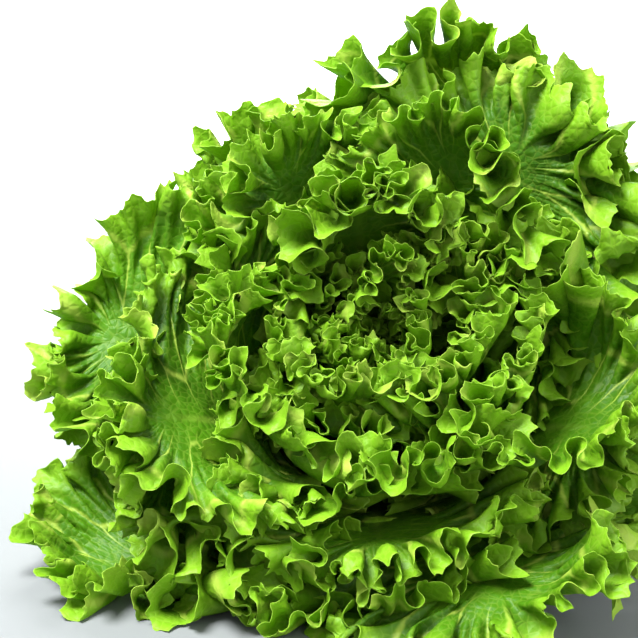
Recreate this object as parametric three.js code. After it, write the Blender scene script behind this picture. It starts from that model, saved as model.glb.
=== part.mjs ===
// A loose head of curly green leaf lettuce, cut and lying as it comes to rest on a table.
// One short stem carries forty leaves, each a thin closed shell of its own. The leaves stand one
// inside the next, like nested cups, in the spiral that the plant grows them in.
// Units are millimetres. +Z is up, the crown of the head faces -Y, and the origin is on the table,
// below the middle of the head. An azimuth is an angle round the head's own axis. Once the head is
// laid down, its upper side is at 90 degrees and its lower side at -90.
import * as THREE from "three";

const lerp = THREE.MathUtils.lerp;
const smoothstep = THREE.MathUtils.smoothstep;
const degrees = THREE.MathUtils.degToRad;

// ---- Driving dimensions ----
const OUTER_LEAVES = 13;
const MIDDLE_LEAVES = 15;
const HEART_LEAVES = 12;
const LEAF_COUNT = OUTER_LEAVES + MIDDLE_LEAVES + HEART_LEAVES;
const GOLDEN_ANGLE = degrees(137.508); // turn from each leaf to the next younger one
const FIRST_LEAF_AZIMUTH = degrees(200);

const AZIMUTH_UNEVENNESS = degrees(15); // leaves stray this far from the even spiral
const LENGTH_UNEVENNESS = 0.11;
const WIDTH_UNEVENNESS = 0.1;

const STEM_BASE_RADIUS = 17;
const STEM_TOP_RADIUS = 6;
const STEM_HEIGHT = 55;
const STEM_CUT_EDGE = 1.2; // bevel round the cut face
const STEM_TIP_ROUNDING = 4;
const STEM_CLEARANCE = 0.5; // gap that keeps each leaf's foot a separate solid
const FIRST_FOOT_HEIGHT = 6;
const LAST_FOOT_HEIGHT = 50;

const OUTER_LEAF_LENGTH = 164;
const HEART_LEAF_LENGTH = 68;
const OUTER_LEAF_HALF_WIDTH = 88;
const HEART_LEAF_HALF_WIDTH = 24;
const SIZE_FALL = 0.75; // power that sets how soon leaves get smaller towards the heart
const WIDEST_WRAP = degrees(67); // most that a leaf reaches round the head, each way
const FOOT_WIDTH = 0.17; // as a share of the widest part
const FAN_START = 0.02; // share of the length where the foot begins to widen
const FAN_END = 0.66; // share of the length where the leaf is widest
const TIP_SPAN = 0.37; // share of the length over which the tip rounds off
const TIP_BLUNTNESS = 2.4;
const TIP_WIDTH = 0.3; // least width of the blunt tip, as a share of the widest part
const BASE_THICKNESS = 1.5; // along an outer leaf's fleshy midrib
const EDGE_THICKNESS = 0.9;
const HEART_FINENESS = 0.6; // thickness and wave height of the youngest leaf, as a share of the oldest's
const WAVE_HEIGHT = 1.8; // of an outer leaf's frilled margin, each way
const WAVES_ROUND_HEAD = 17;
const WAVE_SLANT = 5; // radians by which the waves drift from a leaf's foot to its tip

// Lean of a leaf from the head's axis, for the oldest leaf and the youngest.
const LEAN_AT_FOOT = [degrees(55), degrees(1)];
const LEAN_AT_TIP = [degrees(97), degrees(1)];
const FOOT_BEND = [degrees(22), degrees(18)]; // extra lean where the leaf leaves the stem
const FOOT_LEAN_POWER = 0.9; // how soon the lean at the foot falls towards the heart
const TIP_LEAN_POWER = 0.8; // the same for the lean at the tip

// How the head's round shape is spoilt by the way it grew and lies.
const LESS_OPEN_ABOVE = 0.24;
const LESS_OPEN_BELOW = 0.19;
const OPENING_WAVES = [
  { count: 3, size: 0.035, phase: 0.8 },
  { count: 5, size: 0.02, phase: 0 },
];
const SIDE_REACH = 0.92;
const MORE_REACH_ABOVE = 0.2;
const MORE_REACH_BELOW = 0.06;
const FULL_SIDE = degrees(50); // azimuth where the head grew fullest
const FULL_SIDE_REACH = 0.08;
const LONG_WAY = degrees(42); // azimuth of the longer way across the head
const LONG_WAY_REACH = 0.045;

const HEAD_TILT = degrees(42); // from upright, the crown towards -Y
const STEM_REST_HEIGHT = 13; // middle of the cut face above the table
const DROOP_START = 35; // sideways distance at which leaves begin to sag
const DROOP_RATE = 0.0018; // sag per mm squared beyond that
const FLOOR_PRESS = 4.5; // depth over which leaves flatten against the table

const ACROSS_CELLS = 11;
const ALONG_CELLS = 6;
const STEM_SIDES = 32;
const PROFILE_STEPS = 24; // straight steps in which a leaf's curved run is summed

// ---- The shape of the head ----
// How strongly the leaves open at an azimuth round the axis: full at the sides, less above, and
// least below, where the table holds them up against the head.
function opening(azimuth) {
  const up = Math.sin(azimuth);
  const above = LESS_OPEN_ABOVE * Math.max(0, up) ** 1.5;
  const below = LESS_OPEN_BELOW * Math.max(0, -up) ** 1.5;
  const wave = ({ count, size, phase }) => size * Math.sin(count * azimuth + phase);
  return OPENING_WAVES.reduce((open, each) => open + wave(each), 1 - above - below);
}

// How far the head spreads at an azimuth, as a share of the leaves' driving length.
function reach(azimuth) {
  const up = Math.sin(azimuth);
  const above = MORE_REACH_ABOVE * Math.max(0, up) ** 1.3;
  const below = MORE_REACH_BELOW * Math.max(0, -up);
  const fullSide = FULL_SIDE_REACH * Math.cos(azimuth - FULL_SIDE);
  const longWay = LONG_WAY_REACH * Math.cos(2 * (azimuth - LONG_WAY));
  return SIDE_REACH + above + below + fullSide + longWay;
}

// A stray value from -1 to 1 for each leaf and each kind of unevenness, the same on every run.
function stray(i, kind) {
  const turnPerLeaf = 12.9898;
  return Math.sin(turnPerLeaf * (i + 1) * kind + kind);
}

// A leaf's age runs from 0, the outermost and oldest, to 1, the innermost and youngest.
function leafLength(age) {
  return lerp(HEART_LEAF_LENGTH, OUTER_LEAF_LENGTH, (1 - age) ** SIZE_FALL);
}

function leafHalfWidth(age) {
  return lerp(HEART_LEAF_HALF_WIDTH, OUTER_LEAF_HALF_WIDTH, (1 - age) ** SIZE_FALL);
}

// Share of the full half width at a share of the length: a narrow foot, a broad fan, a blunt tip.
function outline(along) {
  const spread = lerp(FOOT_WIDTH, 1, smoothstep(along, FAN_START, FAN_END));
  const intoTip = Math.max(0, along - FAN_END) / TIP_SPAN;
  const tip = Math.sqrt(Math.max(0, 1 - intoTip ** TIP_BLUNTNESS));
  return spread * Math.max(tip, TIP_WIDTH);
}

// Angle between a leaf's run and the head's axis, at a share of its length.
function lean(age, along) {
  const atFoot = lerp(...LEAN_AT_FOOT, age ** FOOT_LEAN_POWER);
  const atTip = lerp(...LEAN_AT_TIP, age ** TIP_LEAN_POWER);
  const footBend = lerp(...FOOT_BEND, age) * (1 - along) ** 5;
  return lerp(atFoot, atTip, along ** 1.4) + footBend;
}

// Radius and height of a leaf's middle surface, in the head's own upright frame. The run is summed
// in short steps from the foot on the stem.
function leafProfile(age, azimuth, along) {
  const height = lerp(FIRST_FOOT_HEIGHT, LAST_FOOT_HEIGHT, age);
  const step = (leafLength(age) * reach(azimuth) * along) / PROFILE_STEPS;
  const open = opening(azimuth);
  const profile = { radius: stemRadius(height) + STEM_CLEARANCE + BASE_THICKNESS / 2, height };
  for (let i = 0; i < PROFILE_STEPS; i += 1) {
    const angle = lean(age, (along * (i + 0.5)) / PROFILE_STEPS) * open;
    profile.radius += step * Math.sin(angle);
    profile.height += step * Math.cos(angle);
  }
  return profile;
}

function stemRadius(height) {
  return lerp(STEM_BASE_RADIUS, STEM_TOP_RADIUS, height / STEM_HEIGHT);
}

// From the upright frame to the head as it lies: tilted, sagging at the sides, flat on the table.
function layDown(point) {
  point.applyAxisAngle(new THREE.Vector3(1, 0, 0), HEAD_TILT);
  const beyond = Math.max(0, Math.abs(point.x) - DROOP_START);
  point.z += STEM_REST_HEIGHT - DROOP_RATE * beyond * beyond;
  const pressed = FLOOR_PRESS * Math.log1p(Math.exp(-Math.abs(point.z) / FLOOR_PRESS));
  point.z = Math.max(0, point.z) + pressed;
  return point;
}

// ---- Leaves ----
// A point of a leaf's middle surface, on the head as it lies. across runs from -1 to 1 between the
// leaf's two side margins, and along from 0 at its foot to 1 at its tip.
function leafPoint({ age, azimuth, longer, wider }, across, along) {
  const share = along * longer;
  const atMidrib = leafProfile(age, azimuth, share).radius;
  const wrap = Math.min((wider * leafHalfWidth(age) * outline(along)) / atMidrib, WIDEST_WRAP);
  const angle = azimuth + across * wrap;
  const middle = leafProfile(age, angle, share);
  const nearMargin = Math.max(Math.abs(across) ** 3, smoothstep(along, 0.7, 1));
  const height = lerp(1, HEART_FINENESS, age) * WAVE_HEIGHT * nearMargin * smoothstep(along, 0.1, 0.5);
  const wave = height * Math.sin(WAVES_ROUND_HEAD * angle + WAVE_SLANT * along);
  const slope = lean(age, along) * opening(angle);
  const radius = middle.radius - wave * Math.cos(slope);
  const up = middle.height + wave * Math.sin(slope);
  return layDown(new THREE.Vector3(radius * Math.cos(angle), radius * Math.sin(angle), up));
}

// The unit normal of the laid leaf, on the side that faces the head's axis.
function leafNormal(leaf, across, along) {
  const small = 0.01;
  const before = Math.max(0, along - small);
  const run = leafPoint(leaf, across, along + small).sub(leafPoint(leaf, across, before));
  const round = leafPoint(leaf, across + small, along).sub(leafPoint(leaf, across - small, along));
  return round.cross(run).normalize();
}

// One leaf as two grids of points, its upper and its lower face.
function leafFaces(leaf) {
  const fineness = lerp(1, HEART_FINENESS, leaf.age);
  const faces = [[], []];
  for (let j = 0; j <= ALONG_CELLS; j += 1) {
    const along = j / ALONG_CELLS;
    for (let i = 0; i <= ACROSS_CELLS; i += 1) {
      const across = (2 * i) / ACROSS_CELLS - 1;
      const fromMidrib = Math.min(1, along + Math.abs(across) / 2);
      const half = (fineness * lerp(BASE_THICKNESS, EDGE_THICKNESS, fromMidrib)) / 2;
      const normal = leafNormal(leaf, across, along);
      const middle = leafPoint(leaf, across, along);
      faces[0].push(middle.clone().addScaledVector(normal, half));
      faces[1].push(middle.clone().addScaledVector(normal, -half));
    }
  }
  return faces;
}

// Joins the two faces along their rim into one closed shell.
function shellGeometry([upper, lower]) {
  const columns = ACROSS_CELLS + 1;
  const rows = ALONG_CELLS + 1;
  const index = [];
  const quad = (a, b, c, d) => index.push(a, b, c, a, c, d);
  const below = upper.length;
  for (let j = 0; j < ALONG_CELLS; j += 1) {
    for (let i = 0; i < ACROSS_CELLS; i += 1) {
      const corner = j * columns + i;
      quad(corner, corner + 1, corner + columns + 1, corner + columns);
      quad(below + corner, below + corner + columns, below + corner + columns + 1, below + corner + 1);
    }
  }
  const rim = [];
  for (let i = 0; i < ACROSS_CELLS; i += 1) rim.push(i);
  for (let j = 0; j < ALONG_CELLS; j += 1) rim.push(j * columns + ACROSS_CELLS);
  for (let i = ACROSS_CELLS; i > 0; i -= 1) rim.push((rows - 1) * columns + i);
  for (let j = ALONG_CELLS; j > 0; j -= 1) rim.push(j * columns);
  rim.forEach((from, k) => {
    const to = rim[(k + 1) % rim.length];
    quad(to, from, below + from, below + to);
  });
  const points = [...upper, ...lower];
  const geometry = new THREE.BufferGeometry().setFromPoints(points);
  geometry.setIndex(index);
  geometry.computeVertexNormals();
  return geometry;
}

// Leaf names run from the outside in: outer_leaf_01 is the oldest, heart_leaf_12 the youngest.
function leafName(i) {
  const ring = [
    ["outer_leaf_", 0],
    ["middle_leaf_", OUTER_LEAVES],
    ["heart_leaf_", OUTER_LEAVES + MIDDLE_LEAVES],
  ].findLast(([, first]) => i >= first);
  return ring[0] + String(i - ring[1] + 1).padStart(2, "0");
}

// ---- Stem ----
// A short tapered stem with a flat cut face below and a rounded growing tip.
function stemGeometry() {
  const profile = new THREE.Path();
  profile.moveTo(0, 0);
  profile.lineTo(STEM_BASE_RADIUS - STEM_CUT_EDGE, 0);
  profile.lineTo(STEM_BASE_RADIUS, STEM_CUT_EDGE);
  profile.lineTo(STEM_TOP_RADIUS, STEM_HEIGHT);
  const top = STEM_HEIGHT + STEM_TIP_ROUNDING;
  profile.quadraticCurveTo(STEM_TOP_RADIUS - 1, top, 0, top);
  const geometry = new THREE.LatheGeometry(profile.getPoints(3), STEM_SIDES).rotateX(Math.PI / 2);
  const position = geometry.getAttribute("position");
  const point = new THREE.Vector3();
  for (let i = 0; i < position.count; i += 1) {
    layDown(point.fromBufferAttribute(position, i));
    position.setXYZ(i, point.x, point.y, point.z);
  }
  return geometry;
}

// ---- The head, assembled ----
const leafMaterial = new THREE.MeshStandardMaterial({ color: 0x7fb832, roughness: 0.45 });
const heartMaterial = new THREE.MeshStandardMaterial({ color: 0xa3c84a, roughness: 0.45 });
const stemMaterial = new THREE.MeshStandardMaterial({ color: 0xdfe3b8, roughness: 0.6 });

const pieces = [];
for (let i = 0; i < LEAF_COUNT; i += 1) {
  const leaf = {
    age: i / (LEAF_COUNT - 1),
    azimuth: FIRST_LEAF_AZIMUTH + i * GOLDEN_ANGLE + AZIMUTH_UNEVENNESS * stray(i, 1),
    longer: 1 + LENGTH_UNEVENNESS * stray(i, 2),
    wider: 1 + WIDTH_UNEVENNESS * stray(i, 3),
  };
  const material = i < OUTER_LEAVES + MIDDLE_LEAVES ? leafMaterial : heartMaterial;
  pieces.push({ name: leafName(i), geometry: shellGeometry(leafFaces(leaf)), material });
}
pieces.push({ name: "stem", geometry: stemGeometry(), material: stemMaterial });

const bounds = new THREE.Box3();
for (const { geometry } of pieces) {
  geometry.computeBoundingBox();
  bounds.union(geometry.boundingBox);
}
const centre = bounds.getCenter(new THREE.Vector3());
const head = new THREE.Group();
for (const { name, geometry, material } of pieces) {
  geometry.translate(-centre.x, -centre.y, -bounds.min.z);
  const mesh = new THREE.Mesh(geometry, material);
  mesh.name = name;
  head.add(mesh);
}

export default head;
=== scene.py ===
# %% [markdown]
# # A loose head of curly leaf lettuce
# The head was cut and laid on a table, with its crown leaning towards us. Forty leaves grow from one
# short stem, each nested inside the one before it. What makes this lettuce is its edges: a leaf's
# margin grows far longer than the blade behind it, and has to buckle into frills to fit. We could draw
# such frills by hand, or push a flat leaf about with noise, but both look like a wavy cloth. So here
# every leaf is given the extra length that the plant gives it, and is then left to find its own folds.

# %% Load the frame
import math

import bpy
import numpy as np
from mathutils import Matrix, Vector


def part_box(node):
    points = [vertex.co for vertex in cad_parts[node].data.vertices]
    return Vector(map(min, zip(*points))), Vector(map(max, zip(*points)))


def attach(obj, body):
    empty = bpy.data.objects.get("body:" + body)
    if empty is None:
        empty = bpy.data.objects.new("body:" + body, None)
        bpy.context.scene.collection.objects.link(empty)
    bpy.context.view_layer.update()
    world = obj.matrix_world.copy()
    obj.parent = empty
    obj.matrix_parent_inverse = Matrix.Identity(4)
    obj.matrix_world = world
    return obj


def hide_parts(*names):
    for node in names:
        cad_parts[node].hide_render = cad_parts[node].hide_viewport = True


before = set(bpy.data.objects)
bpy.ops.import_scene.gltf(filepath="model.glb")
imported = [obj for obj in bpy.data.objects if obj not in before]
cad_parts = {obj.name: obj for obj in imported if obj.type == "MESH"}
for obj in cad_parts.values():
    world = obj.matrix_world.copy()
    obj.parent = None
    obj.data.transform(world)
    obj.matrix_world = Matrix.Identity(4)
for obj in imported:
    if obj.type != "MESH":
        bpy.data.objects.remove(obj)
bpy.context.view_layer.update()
print("nodes in the frame:", len(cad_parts))

# %% [markdown]
# ## Driving sizes
# These are the sizes that the solid leaves were built from, in millimetres. The leaves made below grow
# on the same surfaces, so each one lies in the space that its solid holds.

# %% Sizes of the head
MM = 0.001
LEAF_NAMES = (
    [f"outer_leaf_{i:02d}" for i in range(1, 14)]
    + [f"middle_leaf_{i:02d}" for i in range(1, 16)]
    + [f"heart_leaf_{i:02d}" for i in range(1, 13)]
)
LEAF_COUNT = len(LEAF_NAMES)
GOLDEN_ANGLE = math.radians(137.508)  # turn from each leaf to the next younger one
FIRST_LEAF_AZIMUTH = math.radians(200)
FULL_SIDE, LONG_WAY = math.radians(50), math.radians(42)
AZIMUTH_UNEVENNESS = math.radians(15)
LENGTH_UNEVENNESS, WIDTH_UNEVENNESS = 0.11, 0.1
STEM_BASE_RADIUS, STEM_TOP_RADIUS, STEM_HEIGHT = 17, 6, 55
STEM_CUT_EDGE, STEM_TIP_ROUNDING = 1.2, 4
FOOT_HEIGHTS = (6, 50)
FOOT_GAP = 1.25  # from the stem to the middle of a leaf's foot
LEAF_LENGTHS, HALF_WIDTHS = (68, 164), (24, 88)  # youngest leaf and oldest
SIZE_FALL = 0.75  # power that sets how soon leaves get smaller towards the heart
WIDEST_WRAP = math.radians(67)
HEAD_TILT = math.radians(42)
STEM_REST_HEIGHT = 13
DROOP_START, DROOP_RATE = 35, 0.0018
FLOOR_PRESS = 4.5

# %% How a leaf fans out and leans
FOOT_WIDTH, TIP_WIDTH = 0.17, 0.3  # shares of the widest part
FAN_START, FAN_END = 0.02, 0.66  # shares of the length
TIP_SPAN, TIP_BLUNTNESS = 0.37, 2.4
LEAN_AT_FOOT = (math.radians(55), math.radians(1))  # oldest leaf and youngest
LEAN_AT_TIP = (math.radians(97), math.radians(1))
FOOT_BEND = (math.radians(22), math.radians(18))
FOOT_LEAN_POWER, TIP_LEAN_POWER = 0.9, 0.8  # how soon the lean falls towards the heart
PROFILE_STEPS = 24

# %% How the head's round shape is spoilt by the way it grew and lies
LESS_OPEN_ABOVE, LESS_OPEN_BELOW = 0.24, 0.19
SIDE_REACH, MORE_REACH_ABOVE, MORE_REACH_BELOW = 0.92, 0.2, 0.06
FULL_SIDE_REACH, LONG_WAY_REACH = 0.08, 0.045

# %% [markdown]
# ## The surface that each leaf grows on
# A leaf's age runs from 0, the outermost, to 1, the youngest. Its run from the stem leans out by an
# angle that depends on its age, so an older leaf always lies outside a younger one. The upright head is
# then tilted, its sides sag, and whatever would sink into the table is pressed flat against it.

# %% Strays that make each leaf its own
number = np.arange(LEAF_COUNT)[:, None, None]
age = number / (LEAF_COUNT - 1)


def stray(kind):
    """A value from -1 to 1 for each leaf, the same on every run."""
    turn_per_leaf = 12.9898
    return np.sin(turn_per_leaf * (number + 1) * kind + kind)


azimuth = FIRST_LEAF_AZIMUTH + number * GOLDEN_ANGLE + AZIMUTH_UNEVENNESS * stray(1)
longer = 1 + LENGTH_UNEVENNESS * stray(2)
wider = 1 + WIDTH_UNEVENNESS * stray(3)
print("azimuths of the first leaves, degrees:", np.degrees(azimuth[:5, 0, 0] % (2 * math.pi)).round())


# %% Small helpers for shapes
def lerp(a, b, share):
    return a + (b - a) * share


def smoothstep(x, low, high):
    share = np.clip((x - low) / (high - low), 0, 1)
    return share * share * (3 - 2 * share)


# %% The head as it lies
def opening(angle):
    """How strongly the leaves open at an angle round the axis."""
    up = np.sin(angle)
    uneven = 0.035 * np.sin(3 * angle + 0.8) + 0.02 * np.sin(5 * angle)
    above, below = np.maximum(0, up) ** 1.5, np.maximum(0, -up) ** 1.5
    return 1 - LESS_OPEN_ABOVE * above - LESS_OPEN_BELOW * below + uneven


def reach(angle):
    """How far the head spreads at an angle, as a share of the leaves' length."""
    up = np.sin(angle)
    above, below = np.maximum(0, up) ** 1.3, np.maximum(0, -up)
    skewed = FULL_SIDE_REACH * np.cos(angle - FULL_SIDE) + LONG_WAY_REACH * np.cos(2 * (angle - LONG_WAY))
    return SIDE_REACH + MORE_REACH_ABOVE * above + MORE_REACH_BELOW * below + skewed


def lay_down(points):
    """From the upright frame to the head as it lies on the table."""
    x, y, z = np.moveaxis(points, -1, 0)
    cos, sin = math.cos(HEAD_TILT), math.sin(HEAD_TILT)
    beyond = np.maximum(0, np.abs(x) - DROOP_START)
    high = y * sin + z * cos + STEM_REST_HEIGHT - DROOP_RATE * beyond**2
    high = np.maximum(0, high) + FLOOR_PRESS * np.log1p(np.exp(-np.abs(high) / FLOOR_PRESS))
    return np.stack([x, y * cos - z * sin, high], axis=-1)


# %% A leaf's run and outline
def outline(along):
    """Half width at a share of the length: a narrow foot, a broad fan and a blunt tip."""
    tip = np.sqrt(np.maximum(0, 1 - (np.maximum(0, along - FAN_END) / TIP_SPAN) ** TIP_BLUNTNESS))
    return lerp(FOOT_WIDTH, 1, smoothstep(along, FAN_START, FAN_END)) * np.maximum(tip, TIP_WIDTH)


def lean(along):
    """How far a leaf leans from the axis at a share of its length."""
    at_foot = lerp(*LEAN_AT_FOOT, age**FOOT_LEAN_POWER)
    at_tip = lerp(*LEAN_AT_TIP, age**TIP_LEAN_POWER)
    foot_bend = lerp(*FOOT_BEND, age) * (1 - along) ** 5
    return lerp(at_foot, at_tip, along**1.4) + foot_bend


def stem_radius(height):
    return lerp(STEM_BASE_RADIUS, STEM_TOP_RADIUS, height / STEM_HEIGHT)


def leaf_profile(angle, along):
    """Radius and height of the leaves, summed in short steps from their feet on the stem."""
    height = lerp(*FOOT_HEIGHTS, age) + 0 * along
    radius = stem_radius(height) + FOOT_GAP
    step = lerp(*LEAF_LENGTHS, (1 - age) ** SIZE_FALL) * reach(angle) * along / PROFILE_STEPS
    for i in range(PROFILE_STEPS):
        slope = lean(along * (i + 0.5) / PROFILE_STEPS) * opening(angle)
        radius = radius + step * np.sin(slope)
        height = height + step * np.cos(slope)
    return radius, height


def leaf_surface(across, along):
    half_width = lerp(*HALF_WIDTHS, (1 - age) ** SIZE_FALL)
    at_midrib, _ = leaf_profile(azimuth, along * longer)
    wrap = np.minimum(wider * half_width * outline(along) / at_midrib, WIDEST_WRAP)
    angle = azimuth + across * wrap
    radius, height = leaf_profile(angle, along * longer)
    return lay_down(np.stack([radius * np.cos(angle), radius * np.sin(angle), height], axis=-1))


# %% Line the surfaces up with the frame
cad_across, cad_along = np.meshgrid(np.linspace(-1, 1, 12), np.linspace(0, 1, 7))
plain = leaf_surface(cad_across, cad_along)
own_centres = (plain.min(axis=(1, 2)) + plain.max(axis=(1, 2))) / 2
cad_centres = np.array([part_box(name) for name in LEAF_NAMES]).mean(axis=1) / MM
shifts = cad_centres - own_centres
head_shift = np.median(shifts, axis=0)
worst_shift = np.abs(shifts - head_shift).max()
print("shift of the head, mm:", head_shift.round(2), "worst leaf off by", worst_shift.round(2))

# %% [markdown]
# ## Rays from midrib to margin
# A leaf is one sheet. Its mesh follows the way that the leaf is made: rows run from the fleshy midrib
# out to the margin, and rays cross them, as the side veins do. They start at one side of the foot, turn
# round the tip and end at the other side. The rows crowd together near the margin, where the frills are.

# %% Lay rays over each leaf
ROWS, RAYS = 13, 320
SIDE_SHARE = 0.6  # of the margin's rays, those beside the leaf and not round its tip
SHOULDER = 0.78  # share of the length where the side margin turns into the tip
VEIN_RISE = 0.8  # a side vein leaves the midrib at this share of the place where it ends

ray = np.linspace(0, 1, RAYS)
towards_tip = 1 - np.abs(2 * ray - 1)
round_tip = np.clip((towards_tip - SIDE_SHARE) / (1 - SIDE_SHARE), 0, 1) * math.pi / 2
margin_across = np.sign(ray - 0.5) * np.cos(round_tip) ** 0.75
beside = SHOULDER * towards_tip / SIDE_SHARE
round_the_tip = SHOULDER + (1 - SHOULDER) * np.sin(round_tip) ** 0.9
margin_along = np.where(towards_tip < SIDE_SHARE, beside, round_the_tip)
vein_start = VEIN_RISE * margin_along
from_midrib = (1 - (1 - np.linspace(0, 1, ROWS)) ** 1.5)[:, None]
base = leaf_surface(from_midrib * margin_across, lerp(vein_start, margin_along, from_midrib)) + head_shift
print("leaves, rows, rays:", base.shape[:3], "lowest point, mm:", base[..., 2].min().round(2))


# %% The side of each leaf that faces the head's axis
def lengths(points, axis):
    """Distances between neighbouring points along an axis of the block."""
    return np.linalg.norm(np.diff(points, axis=axis), axis=-1)


def sheet_normals(points):
    round_it = np.gradient(points, axis=2)
    out = np.gradient(points, axis=1)
    out[:, 0] = points[:, 1] - points[:, 0]
    normal = np.cross(out, round_it)
    return normal / np.maximum(np.linalg.norm(normal, axis=-1, keepdims=True), 1e-9)


axis = np.array([0, -math.sin(HEAD_TILT), math.cos(HEAD_TILT)])
from_root = base - (head_shift + np.array([0, 0, STEM_REST_HEIGHT]))
to_axis = (from_root @ axis)[..., None] * axis - from_root
base_normals = sheet_normals(base)
base_normals *= np.sign((base_normals * to_axis).sum(axis=(1, 2, 3)))[:, None, None, None]

# %% [markdown]
# ## Extra length at the margin
# On a curly leaf the cells near the edge go on dividing after the blade has stopped, so the margin ends
# up several times as long as the outline it has to fit. The growth is patchy: some stretches barely
# grow and stay broad and smooth, and others grow into tight curls.

# %% Grow the margin
MARGIN_GROWTH = 2.8  # extra length at the margin, as a share of the outline
GROWTH_START = 0.08  # share of the way from the midrib where growth begins
GROWTH_POWER = 1.25  # a higher power keeps the growth nearer the margin
PATCHES = ((12, 0.5), (45, 0.35))  # how many patches of growth a leaf has, and how strong they are
PATCH_RANGE = (0.35, 2)  # least and most growth of a patch, as a share of the usual growth
LOBES = ((26, 0.3), (60, 0.25))  # the same for stretches that grow outwards
LOBE_RANGE = (0.5, 1.9)
UNGROWN_FOOT = (0.08, 0.34)  # along the leaf, the growth starts and becomes full at these shares

rng = np.random.default_rng(7)


def wander(count, knots):
    """A smooth random line with that many knots, one for each leaf."""
    at = np.linspace(0, knots - 1, count)
    low = np.minimum(at.astype(int), knots - 2)
    values = rng.normal(0, 1, (LEAF_COUNT, knots))
    return lerp(values[:, low], values[:, low + 1], smoothstep(at - low, 0, 1))


grows_at = smoothstep(margin_along, *UNGROWN_FOOT)
ruffled = np.clip((from_midrib - GROWTH_START) / (1 - GROWTH_START), 0, 1)
growth = MARGIN_GROWTH * ruffled**GROWTH_POWER * grows_at
patchy = np.clip(1 + sum(size * wander(RAYS - 1, knots) for knots, size in PATCHES), *PATCH_RANGE)
lobed = sum(size * wander(RAYS, knots) for knots, size in LOBES)[:, None] * (ruffled[1:] * grows_at) ** 2

rest_round, rest_out = lengths(base, 2), lengths(base, 1)
grown_round = rest_round * (1 + (growth[:, 1:] + growth[:, :-1]) / 2 * patchy[:, None])
grown_out = rest_out * np.clip(1 + lobed, *LOBE_RANGE)
leaf_scale = rest_round[:, -1].sum(axis=1)[:, None, None] / rest_round[0, -1].sum()
before_growth, after_growth = rest_round[0, -1].sum(), grown_round[0, -1].sum()
print("margin of the oldest leaf, mm:", before_growth.round(), "grown:", after_growth.round())

# %% [markdown]
# ## Let the leaves find their folds
# Every edge between two neighbouring points is treated as a short rod that wants its grown length. The
# rods are shortened or lengthened a little at a time, as a cloth solver does it, with gentle resistance
# to sharp folds. The sheet is too long for its outline, so it buckles. All leaves are worked out at
# once, as one block of numbers, which keeps this quick.

# %% Curl the margins towards the axis
CUPS, CUP_UNEVENNESS = (5, 18), 12  # mm, for the oldest and the youngest leaf
cup = (lerp(*CUPS, age[:, :, 0]) + CUP_UNEVENNESS * wander(RAYS, 8))[:, None, :]
base = base + base_normals * (leaf_scale * cup * (ruffled * grows_at) ** 2.2)[..., None]

# %% Start the folds
SEED_WAVES = ((6, 9.0, 0.7), (16, 8.0, 1.2), (38, 3.5, 2.4))  # count, height in mm, nearness to the margin
UNEVEN_PACE, UNEVEN_SLANT, UNEVEN_HEIGHT = 0.45, 1.2, 0.4


def seed_heights():
    heights = np.zeros((LEAF_COUNT, ROWS, RAYS))
    for count, size, power in SEED_WAVES:
        phase = np.cumsum(1 + UNEVEN_PACE * wander(RAYS, count // 2 + 2), axis=1)
        phase *= 2 * math.pi * count / phase[:, -1:]
        slant = UNEVEN_SLANT * wander(RAYS, count)[:, None, :] * (1 - from_midrib)
        strength = size * (1 + UNEVEN_HEIGHT * wander(RAYS, count))[:, None, :]
        heights += leaf_scale * strength * np.sin(phase[:, None, :] + slant) * (ruffled * grows_at) ** power
    return heights


# %% Pull the points to their rest lengths
def pull(points, i, j, rest, stiffness, only_apart=False):
    """Moves the two ends of each rod towards its rest length."""
    apart = points[j] - points[i]
    length = np.sqrt((apart * apart).sum(axis=-1))
    short = (rest - length) / np.maximum(length, 1e-6)
    if only_apart:
        short = np.maximum(short, 0)
    move = apart * (0.5 * stiffness * short)[..., None]
    points[j] += move
    points[i] -= move


def ends(axis, start, skip, gap):
    """The first and last points of the rods of that gap along an axis, every skip-th from start."""
    size = (LEAF_COUNT, ROWS, RAYS)[axis]
    first, last = [slice(None)] * 3, [slice(None)] * 3
    first[axis] = slice(start, size - gap, skip)
    last[axis] = slice(start + gap, size, skip)
    return tuple(first), tuple(last)


# %% Resist sharp folds
ROUND_OPEN, WIDE_OPEN, OUT_OPEN = 0.87, 0.54, 0.9  # least share of its straight length that a fold keeps
FOLD_STIFFNESS, OUT_STIFFNESS = 0.15, 0.3
SHEAR_STIFFNESS = 0.25


def resist(points, round_rods, out_rods):
    a, b = round_rods[:, :-1], round_rods[:, 1:]
    diagonal = np.sqrt(out_rods[:, :, :-1] * out_rods[:, :, 1:] + a * b)
    pull(points, np.s_[:, :-1, :-1], np.s_[:, 1:, 1:], diagonal, SHEAR_STIFFNESS)
    pull(points, np.s_[:, :-1, 1:], np.s_[:, 1:, :-1], diagonal, SHEAR_STIFFNESS)
    two = round_rods[:, :, :-1] + round_rods[:, :, 1:]
    pull(points, *ends(2, 0, 1, 2), ROUND_OPEN * two, FOLD_STIFFNESS, only_apart=True)
    four = two[:, :, :-2] + two[:, :, 2:]
    pull(points, *ends(2, 0, 1, 4), WIDE_OPEN * four, FOLD_STIFFNESS, only_apart=True)
    outwards = out_rods[:, :-1] + out_rods[:, 1:]
    pull(points, *ends(1, 0, 1, 2), OUT_OPEN * outwards, OUT_STIFFNESS, only_apart=True)


# %% Settle
STEPS = 300
DRAG = 0.9
ROOM = 22.0  # mm that the oldest leaf's frills may stand off its surface, each way
LOWEST = 0.8  # mm, the least height of a leaf's middle above the table
GROWING_TIME = 0.6  # share of the steps in which the rods grow, before they only settle
HELD_BLADE = 0.55  # share of the way from the midrib up to which the blade is held
HELD_FOOT = (0.02, 0.14)  # along the leaf, the hold starts to fade and is gone at these shares
HOMING, HOLDING = 0.004, 0.5  # share of its drift that a free point and a held point lose in a step


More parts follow.
